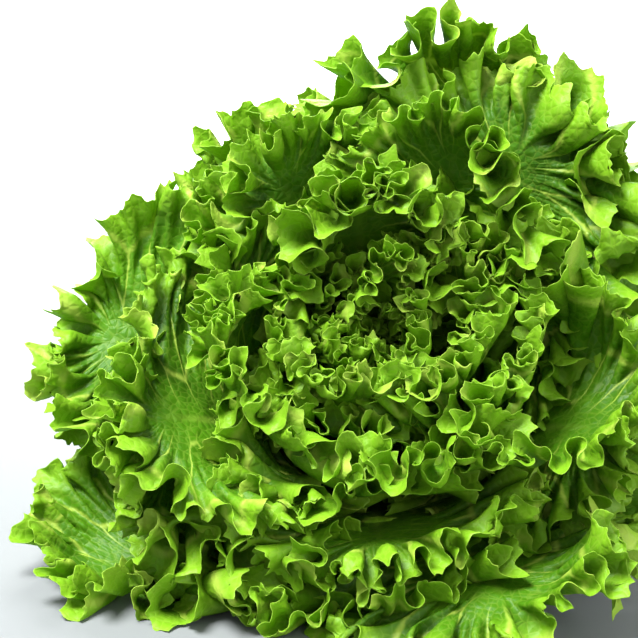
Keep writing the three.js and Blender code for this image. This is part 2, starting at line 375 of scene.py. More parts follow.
def settle():
    hold = np.clip(1 - from_midrib / HELD_BLADE, 0, 1)[None, :, :, None] ** 1.2
    hold = np.maximum(hold, 1 - smoothstep(margin_along, *HELD_FOOT)[None, None, :, None])
    room = (ROOM * leaf_scale * ruffled**0.8)[..., None]
    points = base + base_normals * seed_heights()[..., None]
    before = points.copy()
    for step in range(STEPS):
        grown = min(1, (step + 1) / (GROWING_TIME * STEPS))
        round_rods, out_rods = lerp(rest_round, grown_round, grown), lerp(rest_out, grown_out, grown)
        points, before = points + DRAG * (points - before), points
        for start in (0, 1):
            pull(points, *ends(2, start, 2, 1), round_rods[:, :, start::2], 1)
            pull(points, *ends(1, start, 2, 1), out_rods[:, start::2], 1)
        resist(points, round_rods, out_rods)
        away = points - base
        proud = (away * base_normals).sum(axis=-1, keepdims=True)
        points -= base_normals * (proud - np.clip(proud, -room, room)) * 0.5
        points -= away * (HOMING + HOLDING * hold)
        points[:, 0] = base[:, 0]
        points[..., 2] = np.maximum(points[..., 2], LOWEST)
    return points


points = settle()
reached = lengths(points, 2)
print("margin length reached, mm:", reached[0, -1].sum().round(), "of", grown_round[0, -1].sum().round())

# %% [markdown]
# ## From a coarse sheet to a real leaf
# The settled sheets are coarse. A smooth spline through their points gives as many rows and rays as we
# like. The blade needs few and the margin needs many, because the teeth are there, so the last rows
# form a strip with three times as many rays, sewn on with small triangles.

# %% How finely each kind of leaf is cut
BLADE_GRIDS = {"outer": (17, 480), "middle": (15, 400), "heart": (12, 300)}  # rows and rays
STRIP_ROWS = 4
STRIP_SHARE = 0.93
FINER = 3


# %% Read a grid between its points
def spline_weights(share):
    return (
        (1 - share) ** 3 / 6,
        (3 * share**3 - 6 * share**2 + 4) / 6,
        (-3 * share**3 + 3 * share**2 + 3 * share + 1) / 6,
        share**3 / 6,
    )


def along_axis(grid, axis, places):
    """A smooth spline through a grid, read at fractional places along one axis."""
    grid = np.moveaxis(grid, axis, 0)
    padded = np.concatenate([2 * grid[:1] - grid[1:2], grid, 2 * grid[-1:] - grid[-2:-1]])
    low = np.minimum(places.astype(int), len(grid) - 2)
    wide = (-1,) + (1,) * (grid.ndim - 1)
    weights = spline_weights(places - low)
    read = sum(weight.reshape(wide) * padded[low + k] for k, weight in enumerate(weights))
    return np.moveaxis(read, 0, axis)


def sample(grid, row_places, ray_places):
    return along_axis(along_axis(grid, 1, ray_places), 0, row_places)


# %% [markdown]
# ## Teeth, lobes and small curls
# A margin shows detail at three sizes: lobes of about a centimetre, pointed teeth a few millimetres
# apart, and between them small curls that are too fine for the settled sheet. Teeth and lobes move the
# edge outwards, and the small curls move it off the sheet, more the nearer the edge is. A younger leaf
# has finer detail, though not in full proportion to its size.

# %% Lines of teeth and curls
TOOTH, TOOTH_SPACING = 3.4, 5.0  # mm, on the oldest leaf
LOBE, LOBE_SPACING = 8.0, 20
CURL, CURL_LENGTH = 3.4, 14
BAY_POWER = 1.6  # a higher power makes the bays rounder and the teeth sharper


def smooth_noise(count, knots, rand):
    """A smooth random line from -1 to 1 with that many knots."""
    values = rand.uniform(-1, 1, knots + 3)
    places = np.linspace(0, knots - 1e-6, count)
    low = places.astype(int)
    return sum(weight * values[low + k] for k, weight in enumerate(spline_weights(places - low)))


def teeth(run, spacing, rand):
    """Pointed teeth with round bays between them, from 0 to 1, where the margin has run so many mm."""
    gaps = spacing * rand.uniform(0.5, 1.6, int(2.5 * run[-1] / spacing) + 2)
    starts = np.concatenate([[0], np.cumsum(gaps)])
    heights = rand.uniform(0.2, 1, len(starts))
    tooth = np.searchsorted(starts, run, side="right") - 1
    share = (run - starts[tooth]) / gaps[tooth]
    return lerp(heights[tooth], heights[tooth + 1], share) * np.abs(2 * share - 1) ** BAY_POWER


def margin_detail(run, size, rand):
    """For each fine ray: how far the edge stands out, and the height, phase and slant of its curls."""
    edge = LOBE * size**0.7 * teeth(run, LOBE_SPACING * size**0.6, rand)
    edge += TOOTH * size**0.4 * teeth(run, TOOTH_SPACING * size**0.4, rand)
    curl_length = CURL_LENGTH * size**0.6
    curls = int(run[-1] / curl_length)
    pace = 1 + 0.8 * smooth_noise(len(run), curls // 2, rand)
    phase = 2 * math.pi * np.cumsum(np.gradient(run) * pace) / curl_length
    height = CURL * size**0.6 * (0.5 + 0.8 * smooth_noise(len(run), curls // 4, rand))
    slant = 10 * smooth_noise(len(run), curls // 3, rand)
    return edge, height, phase, slant


# %% Place the fine rays evenly along the grown margin
LENGTH_SHARE = 0.75  # the rest follows the ungrown outline


def run_along(line):
    """How many mm a line has run at each of its points."""
    return np.concatenate([[0], np.cumsum(np.linalg.norm(np.diff(line, axis=0), axis=1))])


def fine_ray_places(index, count):
    """Places from 0 to 1, the same on both sides of the midrib, so that the two sides meet there."""
    run = run_along(points[index, -1])
    share = lerp(ray, run / run[-1], LENGTH_SHARE)
    return np.interp(np.linspace(0, 1, count), (share + 1 - share[::-1]) / 2, ray)


# %% One leaf as a fine sheet
FACTS = ("point", "stalk", "from_rib", "from_edge", "curl", "around")
OUTLINE_LENGTH = 484  # mm of margin before its extra growth, on the oldest leaf


def sheet_part(index, rows, rays, every, detail, size):
    """Points of one leaf and what its finish needs to know, over a grid of rows and rays."""
    edge, height, phase, slant = (line[::every] for line in detail)
    row_places, ray_places = rows * (ROWS - 1), rays * (RAYS - 1)
    margin_rows = np.array([ROWS - 1.6, ROWS - 1.0])
    behind, ahead = sample(points[index], margin_rows, ray_places)
    outward = (ahead - behind) / np.maximum(np.linalg.norm(ahead - behind, axis=1, keepdims=True), 1e-9)
    frill = np.interp(ray_places, np.arange(RAYS), grows_at)
    near_edge = smoothstep(rows, 0.72, 1)[:, None] ** 1.5
    flat = sample(base[index], row_places, ray_places)
    rib, _, flat_edge = sample(base[index], np.array([0.0, 1.0, ROWS - 1.0]), ray_places)
    crossing = phase + (1 - rows)[:, None] * slant
    everywhere = np.ones((len(rows), 1))
    stand_out = outward * (near_edge * edge * frill)[..., None]
    return {
        "point": sample(points[index], row_places, ray_places) + stand_out,
        "stalk": everywhere * np.interp(ray_places, np.arange(RAYS), vein_start),
        "from_rib": np.linalg.norm(flat - rib, axis=-1),
        "from_edge": np.linalg.norm(flat_edge - flat, axis=-1),
        "curl": smoothstep(rows, 0.5, 1)[:, None] ** 1.3 * height * frill * np.sin(crossing),
        "around": everywhere * rays * OUTLINE_LENGTH * size,
    }


# %% Sew the blade and its margin strip together
def grid_faces(ids):
    """Four-cornered faces between the points of a grid."""
    return np.stack([ids[:-1, :-1], ids[1:, :-1], ids[1:, 1:], ids[:-1, 1:]], axis=-1).reshape(-1, 4)


def sewn_faces(blade, strip):
    """Faces of both grids, with one blade ray meeting every third strip ray, and the loop round the rim."""
    left, right = blade[-1, :-1], blade[-1, 1:]
    first, second, third, last = (strip[0, k :: FINER][: len(left)] for k in range(FINER + 1))
    seam = [
        np.stack([left, first, second, second], axis=1),
        np.stack([left, second, third, right], axis=1),
        np.stack([right, third, last, last], axis=1),
    ]
    faces = np.concatenate([grid_faces(blade), grid_faces(strip)] + seam)
    rim = np.concatenate([blade[:, 0], strip[:, 0], strip[-1, 1:], strip[::-1, -1][1:], blade[::-1, -1]])
    return faces, rim


def listed(grid):
    """A grid's points as one list, row after row."""
    return grid.reshape(-1, *grid.shape[2:])


def leaf_sheet(index, size):
    """What the finish needs to know of each point of a leaf, its faces, and the loop round its rim."""
    rand = np.random.default_rng(100 + index)
    rows, rays = BLADE_GRIDS[LEAF_NAMES[index].split("_")[0]]
    fine_rays = FINER * (rays - 1) + 1
    fine_places = fine_ray_places(index, fine_rays)
    margin_line = sample(points[index], np.array([ROWS - 1.0]), fine_places * (RAYS - 1))[0]
    detail = margin_detail(run_along(margin_line), size, rand)
    blade_rows = np.linspace(0, STRIP_SHARE - 0.02, rows)
    strip_rows = np.linspace(STRIP_SHARE, 1, STRIP_ROWS)
    parts = [
        sheet_part(index, blade_rows, fine_places[::FINER], FINER, detail, size),
        sheet_part(index, strip_rows, fine_places, 1, detail, size),
    ]
    blade = np.arange(rows * rays).reshape(rows, rays)
    strip = blade.size + np.arange(STRIP_ROWS * fine_rays).reshape(STRIP_ROWS, fine_rays)
    blade[0, rays // 2 :] = blade[0, : rays // 2][::-1]
    facts = {fact: np.concatenate([listed(part[fact]) for part in parts]) for fact in FACTS}
    return facts, *sewn_faces(blade, strip)


# %% [markdown]
# ## Two faces and a rim
# A real leaf has a thickness, and a closed shell is what the light needs to pass through it. Each point
# of the sheet gives two, one on each face, and a band of small faces closes the rim. Below the midrib
# the lower face swells into the fleshy rib that the leaf hangs on.

# %% Normals of a sheet
def point_normals(points, faces):
    corners = points[faces]
    across_face = np.cross(corners[:, 2] - corners[:, 0], corners[:, 3] - corners[:, 1])
    total = np.zeros_like(points)
    for corner in range(4):
        for axis in range(3):
            total[:, axis] += np.bincount(faces[:, corner], across_face[:, axis], len(points))
    return total / np.maximum(np.linalg.norm(total, axis=1, keepdims=True), 1e-9)


# %% Turn points and faces into a mesh
def closed_mesh(name, points, faces, attributes, uv):
    """A mesh from four-cornered faces. Those whose neighbouring corners coincide become triangles."""
    kept = faces != np.roll(faces, -1, axis=1)
    counts = kept.sum(axis=1)
    corners = faces[counts > 2][kept[counts > 2]]
    counts = counts[counts > 2]
    mesh = bpy.data.meshes.new(name)
    mesh.vertices.add(len(points))
    mesh.vertices.foreach_set("co", (points * MM).astype(np.float32).ravel())
    mesh.loops.add(len(corners))
    mesh.loops.foreach_set("vertex_index", corners.astype(np.int32))
    mesh.polygons.add(len(counts))
    mesh.polygons.foreach_set("loop_start", (np.cumsum(counts) - counts).astype(np.int32))
    mesh.polygons.foreach_set("use_smooth", np.ones(len(counts), bool))
    for key, values in attributes.items():
        mesh.attributes.new(key, "FLOAT", "POINT").data.foreach_set("value", values.astype(np.float32))
    mesh.uv_layers.new(name="blade").data.foreach_set("uv", uv[corners].astype(np.float32).ravel())
    mesh.update(calc_edges=True)
    mesh.validate()
    return mesh


# %% Thicken a sheet into a leaf
THICKNESS = 0.55  # mm, of the oldest leaf's blade
RIB = 4.0  # mm that its midrib stands out below
CLEAR = 0.05  # mm between the lowest leaf and the table
RIB_WIDTHS = (7, 2)  # mm, at the oldest leaf's foot and at its tip
RIM_SHARE, RIM_RAMP = 0.32, 8  # share of the thickness at the rim, and mm inwards that add one whole
UV_PER_MM = 0.01


def leaf_mesh(index):
    size = float(leaf_scale[index, 0, 0])
    facts, faces, rim = leaf_sheet(index, size)
    sheet = facts["point"] + point_normals(facts["point"], faces) * facts["curl"][:, None]
    normals = point_normals(sheet, faces)
    rib_width = lerp(*RIB_WIDTHS, facts["stalk"]) * size**0.6
    rib = RIB * size**0.6 * (1 - facts["stalk"]) ** 1.3 * np.exp(-((facts["from_rib"] / rib_width) ** 2))
    ramp = np.minimum(1, RIM_SHARE + facts["from_edge"] / RIM_RAMP)
    half = THICKNESS / 2 * (0.55 + 0.45 * size) * ramp
    both = np.concatenate([sheet + normals * half[:, None], sheet - normals * (half + rib)[:, None]])
    both[:, 2] = np.maximum(both[:, 2], CLEAR)
    count = len(sheet)
    sides = np.stack([rim[:-1], rim[:-1] + count, rim[1:] + count, rim[1:]], axis=1)
    used, packed = np.unique(np.concatenate([faces, faces[:, ::-1] + count, sides]), return_inverse=True)
    twice = {fact: np.concatenate([values, values])[used] for fact, values in facts.items()}
    attributes = {
        "stalk": twice["stalk"],
        "from_midrib_mm": twice["from_rib"],
        "from_margin_mm": twice["from_edge"],
    }
    uv = np.stack([twice["around"], twice["from_rib"]], axis=1) * UV_PER_MM
    return closed_mesh(LEAF_NAMES[index] + "_blade", both[used], packed.reshape(-1, 4), attributes, uv)


# %% Make the leaves
leaf_pieces = []
for index, name in enumerate(LEAF_NAMES):
    piece = bpy.data.objects.new(name + "_blade", leaf_mesh(index))
    bpy.context.scene.collection.objects.link(piece)
    leaf_pieces.append(piece)
triangles = [sum(len(face.vertices) - 2 for face in piece.data.polygons) for piece in leaf_pieces]
print("triangles in the largest leaf:", max(triangles), "and in all leaves:", sum(triangles))

# %% [markdown]
# ## The stem
# The stem is a short, tapered core. A knife left its base flat, with the faintest dish where the flesh
# has shrunk, and each leaf leaves a low ridge where it grows out. Rings of points, turned about the
# axis and then laid down with the head, make this in one pass.

# %% Turn the stem
STEM_SIDES, FLANK_RINGS = 96, 60
SCAR_HEIGHT, SCAR_SPAN = 0.35, 1.6  # mm that a leaf's ridge stands out, and its reach up and down the stem
DISH = 0.5  # mm

foot_heights = lerp(*FOOT_HEIGHTS, age[:, 0, 0])
foot_angles = azimuth[:, 0, 0]


def scars(angle, height):
    """How far the leaf ridges stand out at a place on the stem."""
    turned = 0.5 + 0.5 * np.cos(angle[..., None] - foot_angles)
    near = np.exp(-(((height[..., None] - foot_heights) / SCAR_SPAN) ** 2))
    return SCAR_HEIGHT * (near * turned**2).max(axis=-1)


def stem_rings():
    """Radius and height of each ring, from the middle of the cut face to the growing tip."""
    face_radius = STEM_BASE_RADIUS - STEM_CUT_EDGE
    face = [(r, DISH * (1 - (r / face_radius) ** 2)) for r in face_radius * np.linspace(0.1, 1, 10)]
    flank = [(stem_radius(h), h) for h in np.linspace(STEM_CUT_EDGE, STEM_HEIGHT, FLANK_RINGS)]
    turns = np.linspace(0.2, 1.35, 6)
    tip = [(STEM_TOP_RADIUS * math.cos(t), STEM_HEIGHT + STEM_TIP_ROUNDING * math.sin(t)) for t in turns]
    return np.array(face + flank + tip)


# %% Build the stem's mesh
rings = stem_rings()
turn = np.linspace(0, 2 * math.pi, STEM_SIDES, endpoint=False)
height = rings[:, 1:] + 0 * turn
radius = rings[:, :1] + scars(turn + 0 * height, height) * (height > 2 * STEM_CUT_EDGE)
wall = np.stack([radius * np.cos(turn), radius * np.sin(turn), height], axis=-1)
caps = np.array([[0, 0, DISH], [0, 0, STEM_HEIGHT + STEM_TIP_ROUNDING]])
stem_upright = np.concatenate([wall.reshape(-1, 3), caps])
stem_points = lay_down(stem_upright) + head_shift
ids = np.arange(wall[..., 0].size).reshape(len(rings), STEM_SIDES)
ids = np.concatenate([ids, ids[:, :1]], axis=1)
foot, top = len(stem_points) - 2, len(stem_points) - 1
first, last = ids[0], ids[-1]
fans = [
    np.stack([first[1:], first[:-1], 0 * first[1:] + foot, 0 * first[1:] + foot], axis=1),
    np.stack([last[:-1], last[1:], 0 * last[1:] + top, 0 * last[1:] + top], axis=1),
]
stem_faces = np.concatenate([grid_faces(ids)[:, ::-1]] + fans)
stem_facts = {
    "up_stem_mm": stem_upright[:, 2],
    "from_axis_mm": np.hypot(stem_upright[:, 0], stem_upright[:, 1]),
}
stem_mesh = closed_mesh("stem_core", stem_points, stem_faces, stem_facts, stem_upright[:, :2] * UV_PER_MM)
stem_piece = bpy.data.objects.new("stem_core", stem_mesh)
bpy.context.scene.collection.objects.link(stem_piece)
print("stem, m:", [round(v, 4) for v in stem_piece.dimensions])

# %% [markdown]
# ## Materials
# A fresh leaf is thin, waxy and full of light. Part of the light glances off the wax and part passes
# through and comes out a warmer green, so each leaf mixes a glossy surface with a translucent one. One
# small function adds every node, another turns the sRGB codes of the colours into linear values, and a
# third starts a material with an empty tree.

# %% Three helpers for materials
def colour(code):
    """An sRGB hex code as linear RGBA."""
    channels = [int(code[i : i + 2], 16) / 255 for i in (1, 3, 5)]
    return [c / 12.92 if c <= 0.04045 else ((c + 0.055) / 1.055) ** 2.4 for c in channels] + [1.0]


def add(tree, kind, inputs=None, **settings):
    """Adds a node. An input is a plain value, a socket to link, or a node whose first output is linked."""
    node = tree.nodes.new(kind)
    for key, value in settings.items():
        setattr(node, key, value)
    for socket, source in (inputs or {}).items():
        if isinstance(source, bpy.types.Node):
            source = source.outputs[0]
        if isinstance(source, bpy.types.NodeSocket):
            tree.links.new(source, node.inputs[socket])
        else:
            node.inputs[socket].default_value = source
    return node


def new_material(name):
    """A material with no nodes yet, and its tree."""
    material = bpy.data.materials.new(name)
    material.use_nodes = True
    material.node_tree.nodes.clear()
    return material, material.node_tree


# %% [markdown]
# ## Veins
# Lettuce veins branch off the midrib and run out towards the margin, and finer ones join them into a
# net. A cell pattern whose cells are stretched along the leaf's own rays gives the first kind, and a
# plain one gives the second. Between the veins the blade swells, so the net and a soft noise drive a
# slight bump.

# %% The vein pattern, as shares from 0 to 1
VEIN_SPACING, VEIN_RUN, NET_SPACING, BLISTER = 19, 42, 3.6, 7  # mm
VEIN_WIDTH, NET_WIDTH = 0.06, 0.12  # shares of a cell
VEINS_APPEAR = (5, 20)  # mm from the midrib
WOBBLE, WOBBLE_SCALE = 0.05, 9
NET_SWELL = 0.4
SMOOTH = {"interpolation_type": "SMOOTHSTEP"}


def vein_nodes(tree, rib_mm):
    """Lines of the side veins, lines of the net, and the swelling between them."""
    place = add(tree, "ShaderNodeTexCoord").outputs["Object"]
    along_rays = add(tree, "ShaderNodeUVMap", uv_map="blade")
    wobble = add(tree, "ShaderNodeTexNoise", {"Vector": along_rays, "Scale": WOBBLE_SCALE, "Detail": 3})
    shifts = {"Factor": WOBBLE, 4: along_rays, 5: wobble.outputs["Color"]}
    bent = add(tree, "ShaderNodeMix", shifts, data_type="VECTOR")
    stretch = (1 / UV_PER_MM / VEIN_SPACING, 1 / UV_PER_MM / VEIN_RUN, 1)
    rays = add(tree, "ShaderNodeMapping", {"Vector": bent.outputs[1], "Scale": stretch})
    cells = {"feature": "DISTANCE_TO_EDGE"}
    side = add(tree, "ShaderNodeTexVoronoi", {"Vector": rays, "Scale": 1}, voronoi_dimensions="2D", **cells)
    net = add(tree, "ShaderNodeTexVoronoi", {"Vector": place, "Scale": 1 / MM / NET_SPACING}, **cells)
    side_line = add(tree, "ShaderNodeMapRange", {0: side, 1: 0, 2: VEIN_WIDTH, 3: 1, 4: 0}, **SMOOTH)
    near_rib, far_from_rib = VEINS_APPEAR
    from_rib = add(tree, "ShaderNodeMapRange", {0: rib_mm, 1: near_rib, 2: far_from_rib, 3: 0, 4: 1})
    side_line = add(tree, "ShaderNodeMath", {0: side_line, 1: from_rib}, operation="MULTIPLY")
    net_line = add(tree, "ShaderNodeMapRange", {0: net, 1: 0, 2: NET_WIDTH, 3: 1, 4: 0}, **SMOOTH)
    blisters = add(tree, "ShaderNodeTexNoise", {"Vector": place, "Scale": 1 / MM / BLISTER, "Detail": 1})
    fine_swell = add(tree, "ShaderNodeMath", {0: net, 1: NET_SWELL}, operation="MULTIPLY")
    swell = add(tree, "ShaderNodeMath", {0: blisters, 1: fine_swell}, operation="ADD")
    return side_line, net_line, swell


# %% A leaf material
PATCH_SCALE = 28  # patches of older and younger tissue, about 35 mm across
YOUNG_AND_LIT_EDGE, YOUNG_AND_LIT_TINT = 17, 0.9  # mm from the margin that are paler, partly as younger tissue and partly as painted light on the frills, and how strongly; the darker blade further in is partly painted shade
VEIN_TINT, NET_TINT, MIDRIB_TINT = 0.7, 0.13, 0.7
MIDRIB_ZONE = (0.5, 3.5)  # mm over which the midrib's colour fades
FOOT_END, FOOT_TINT, FOOT_WHITE = 0.32, 0.85, "#DCE8B4"  # share of the leaf that is pale at its foot
RIM_HIGHLIGHT_WIDTH, RIM_HIGHLIGHT_TINT = 0.4, 0.2  # mm of a painted highlight along the rim, and how strongly it covers
THROUGH_TINT = 0.5
ROUGHNESS, REFRACTION = 0.5, 1.36


# margin is the colour of a paler band that is partly young tissue and partly painted light; rim is the colour
# of a painted highlight along the edge.
def leaf_material(name, blade, deep, margin, rim, vein, through, light_through):
    material, tree = new_material(name)
    place = add(tree, "ShaderNodeTexCoord").outputs["Object"]
    rib_mm = add(tree, "ShaderNodeAttribute", attribute_name="from_midrib_mm").outputs["Fac"]
    edge_mm = add(tree, "ShaderNodeAttribute", attribute_name="from_margin_mm").outputs["Fac"]
    up_leaf = add(tree, "ShaderNodeAttribute", attribute_name="stalk").outputs["Fac"]
    side_line, net_line, swell = vein_nodes(tree, rib_mm)

    # Side veins, the net and the fleshy midrib, which thins towards the tip.
    side_share = add(tree, "ShaderNodeMath", {0: side_line, 1: VEIN_TINT}, operation="MULTIPLY")
    net_share = add(tree, "ShaderNodeMath", {0: net_line, 1: NET_TINT}, operation="MULTIPLY")
    lines = add(tree, "ShaderNodeMath", {0: side_share, 1: net_share}, operation="MAXIMUM")
    full, gone = MIDRIB_ZONE
    midrib = add(tree, "ShaderNodeMapRange", {0: rib_mm, 1: full, 2: gone, 3: MIDRIB_TINT, 4: 0}, **SMOOTH)
    thinning = add(tree, "ShaderNodeMapRange", {0: up_leaf, 1: 0.25, 2: 0.75, 3: 1, 4: 0.15})
    midrib = add(tree, "ShaderNodeMath", {0: midrib, 1: thinning}, operation="MULTIPLY")
    veins = add(tree, "ShaderNodeMath", {0: lines, 1: midrib}, operation="MAXIMUM")

    # Each layer of colour covers the ones before it: patches, a paler margin (partly young tissue, partly
    # painted light, with painted shade further in), veins, white foot, and a painted highlight on the rim.
    patches = add(tree, "ShaderNodeTexNoise", {"Vector": place, "Scale": PATCH_SCALE, "Detail": 3})
    patch_share = add(tree, "ShaderNodeMapRange", {0: patches, 1: 0.3, 2: 0.7})
    # Paler margin band: partly younger tissue, partly painted light on the frills; the darker blade further
    # in is partly painted shade for the cavities.
    young = add(tree, "ShaderNodeMapRange", {0: edge_mm, 1: 0, 2: YOUNG_AND_LIT_EDGE, 3: YOUNG_AND_LIT_TINT, 4: 0})
    foot = add(tree, "ShaderNodeMapRange", {0: up_leaf, 1: 0, 2: FOOT_END, 3: FOOT_TINT, 4: 0}, **SMOOTH)
    # Painted highlight: a thin pale line along the leaf's edge, where light would catch it.
    painted_rim_highlight = add(tree, "ShaderNodeMapRange", {0: edge_mm, 1: 0, 2: RIM_HIGHLIGHT_WIDTH, 3: RIM_HIGHLIGHT_TINT, 4: 0})
    tissue = colour(deep)
    layers = ((patch_share, blade), (young, margin), (veins, vein), (foot, FOOT_WHITE), (painted_rim_highlight, rim))
    for share, tint in layers:
        covering = {"Factor": share, 6: tissue, 7: colour(tint)}
        tissue = add(tree, "ShaderNodeMix", covering, data_type="RGBA").outputs[2]

    bump = add(tree, "ShaderNodeBump", {"Strength": 0.7, "Distance": 0.0022, "Height": swell})
    wax = add(
        tree,
        "ShaderNodeBsdfPrincipled",
        {"Base Color": tissue, "Roughness": ROUGHNESS, "IOR": REFRACTION, "Normal": bump},
    )
    warming = {"Factor": THROUGH_TINT, 6: tissue, 7: colour(through)}
    warmer = add(tree, "ShaderNodeMix", warming, data_type="RGBA").outputs[2]
    lit_through = add(tree, "ShaderNodeBsdfTranslucent", {"Color": warmer, "Normal": bump})
    mixed = add(tree, "ShaderNodeMixShader", {"Fac": light_through, 1: wax, 2: lit_through})
    add(tree, "ShaderNodeOutputMaterial", {"Surface": mixed})
    return material


# %% Living lettuce leaf: waxy, moist and translucent, so its frills glow where light comes from behind
blade_material = leaf_material(
    "waxy lettuce blade",
    blade="#528A0A",
    deep="#366405",
    # margin: a paler band, partly young tissue and partly painted light on the frills
    margin="#86BA22",
    # rim: a painted highlight along the leaf's edge
    rim="#C4DB66",
    vein="#B2CA50",
    through="#AAD028",
    light_through=0.33,
)
heart_material = leaf_material(
    "young lettuce heart blade",
    blade="#548A0A",
    deep="#386605",
    # margin: a paler band, partly young tissue and partly painted light on the frills
    margin="#84B621",
    # rim: a painted highlight along the leaf's edge
    rim="#C8DC6A",
    vein="#AEC850",
    through="#AACE28",
    light_through=0.35,
)


# %% Cut lettuce stem: pale, moist flesh, greener up the flank, browned a little where the knife passed
def stem_material():
    material, tree = new_material("cut lettuce stem flesh")
    place = add(tree, "ShaderNodeTexCoord")
    up_stem = add(tree, "ShaderNodeAttribute", attribute_name="up_stem_mm").outputs["Fac"]
    from_axis = add(tree, "ShaderNodeAttribute", attribute_name="from_axis_mm").outputs["Fac"]

    # The flesh is mottled, in grains of about 2.4 mm, and greener up the flank.
    grain = add(tree, "ShaderNodeTexNoise", {"Vector": place.outputs["Object"], "Scale": 420, "Detail": 4})
    greening = add(tree, "ShaderNodeMapRange", {0: up_stem, 1: 2, 2: 40, 3: 0, 4: 0.7})

    # The cut browns in blotches, most near its edge.
    blotches = add(tree, "ShaderNodeTexNoise", {"Vector": place.outputs["Object"], "Scale": 160, "Detail": 5})
    on_cut = add(tree, "ShaderNodeMapRange", {0: up_stem, 1: 0.6, 2: 1.6, 3: 1, 4: 0})
    edge_share = add(tree, "ShaderNodeMapRange", {0: from_axis, 1: 6, 2: 16, 3: 0.15, 4: 0.75})
    browned = add(tree, "ShaderNodeMath", {0: blotches, 1: edge_share}, operation="MULTIPLY")
    browned = add(tree, "ShaderNodeMath", {0: browned, 1: on_cut}, operation="MULTIPLY")
    flesh = colour("#DDE3B2")
    for share, tint in ((grain, "#EEF0D2"), (greening, "#A9C766"), (browned, "#B07A45")):
        covering = {"Factor": share, 6: flesh, 7: colour(tint)}
        flesh = add(tree, "ShaderNodeMix", covering, data_type="RGBA").outputs[2]

    bump = add(tree, "ShaderNodeBump", {"Strength": 0.3, "Distance": 0.0004, "Height": grain})
    moist = add(
        tree,
        "ShaderNodeBsdfPrincipled",
        {"Base Color": flesh, "Roughness": 0.38, "IOR": 1.37, "Subsurface Weight": 0.15, "Normal": bump},
    )
    moist.inputs["Subsurface Radius"].default_value = (0.004, 0.003, 0.001)
    add(tree, "ShaderNodeOutputMaterial", {"Surface": moist})
    return material


stem_flesh = stem_material()
stem_piece.data.materials.append(stem_flesh)

# %% [markdown]
# ## The ring of sap vessels
# A cut lettuce stem shows a ring of small bundles, the vessels that feed the leaves, each standing a
# hair proud with a drop of dried milky sap. They repeat, so a Geometry Nodes tree places them: points on
# a circle are moved a little, and each takes one low, flattened bead.

# %% Dried sap on the vessels: matt, tan drops that dot the pale cut
def sap_material():
    material, tree = new_material("dried lettuce sap")
    place = add(tree, "ShaderNodeTexCoord")
    crust = add(tree, "ShaderNodeTexNoise", {"Vector": place.outputs["Object"], "Scale": 900, "Detail": 4})
    tan = add(
        tree, "ShaderNodeMix", {"Factor": crust, 6: colour("#B98A58"), 7: colour("#E5D3A4")}, data_type="RGBA"
    ).outputs[2]
    bump = add(tree, "ShaderNodeBump", {"Strength": 0.4, "Distance": 0.0002, "Height": crust})
    dry = add(tree, "ShaderNodeBsdfPrincipled", {"Base Color": tan, "Roughness": 0.6, "Normal": bump})
    add(tree, "ShaderNodeOutputMaterial", {"Surface": dry})
    return material


sap = sap_material()

# %% A tree that rings a stem with vessels
RING_SIZES = {"Ring radius": 11.5, "Bead radius": 0.75, "Stray": 0.9}  # mm
VESSELS = 26

ring_tree = bpy.data.node_groups.new("ring of vessels", "GeometryNodeTree")
ring_tree.interface.new_socket("Geometry", in_out="OUTPUT", socket_type="NodeSocketGeometry")
sockets = {}
for label in RING_SIZES:
    sockets[label] = ring_tree.interface.new_socket(label, in_out="INPUT", socket_type="NodeSocketFloat")
sockets["Vessels"] = ring_tree.interface.new_socket("Vessels", in_out="INPUT", socket_type="NodeSocketInt")
sockets["Finish"] = ring_tree.interface.new_socket("Finish", in_out="INPUT", socket_type="NodeSocketMaterial")
sizes = add(ring_tree, "NodeGroupInput")
ring_shape = {"Vertices": sizes.outputs["Vessels"], "Radius": sizes.outputs["Ring radius"]}
circle = add(ring_tree, "GeometryNodeMeshCircle", ring_shape)
minus = add(ring_tree, "ShaderNodeMath", {0: sizes.outputs["Stray"], 1: -1}, operation="MULTIPLY")
low = add(ring_tree, "ShaderNodeCombineXYZ", {"X": minus, "Y": minus})
high = add(ring_tree, "ShaderNodeCombineXYZ", {"X": sizes.outputs["Stray"], "Y": sizes.outputs["Stray"]})
moves = add(ring_tree, "FunctionNodeRandomValue", {0: low, 1: high, "Seed": 3}, data_type="FLOAT_VECTOR")
strewn = add(ring_tree, "GeometryNodeSetPosition", {"Geometry": circle, "Offset": moves})
bead_shape = {"Radius": sizes.outputs["Bead radius"], "Subdivisions": 3}
bead = add(ring_tree, "GeometryNodeMeshIcoSphere", bead_shape)
small, large = (0.6, 0.6, 0.35), (1.3, 1.3, 0.6)
scales = add(ring_tree, "FunctionNodeRandomValue", {0: small, 1: large, "Seed": 8}, data_type="FLOAT_VECTOR")
beads = add(ring_tree, "GeometryNodeInstanceOnPoints", {"Points": strewn, "Instance": bead, "Scale": scales})
real = add(ring_tree, "GeometryNodeRealizeInstances", {"Geometry": beads})
smooth = add(ring_tree, "GeometryNodeSetShadeSmooth", {"Geometry": real})
covering = {"Geometry": smooth, "Material": sizes.outputs["Finish"]}
finished = add(ring_tree, "GeometryNodeSetMaterial", covering)
add(ring_tree, "NodeGroupOutput", {0: finished})

# %% Grow the ring, and lay it down on the cut face
holder = bpy.data.objects.new("ring holder", bpy.data.meshes.new("ring holder"))
bpy.context.scene.collection.objects.link(holder)
grower = holder.modifiers.new("vessels", "NODES")
grower.node_group = ring_tree
for label, value in RING_SIZES.items():
    grower[sockets[label].identifier] = float(value)
grower[sockets["Vessels"].identifier] = VESSELS
grower[sockets["Finish"].identifier] = sap
grown_holder = holder.evaluated_get(bpy.context.evaluated_depsgraph_get())
ring_mesh = bpy.data.meshes.new_from_object(grown_holder)
holder.modifiers.remove(grower)
bpy.data.objects.remove(holder)

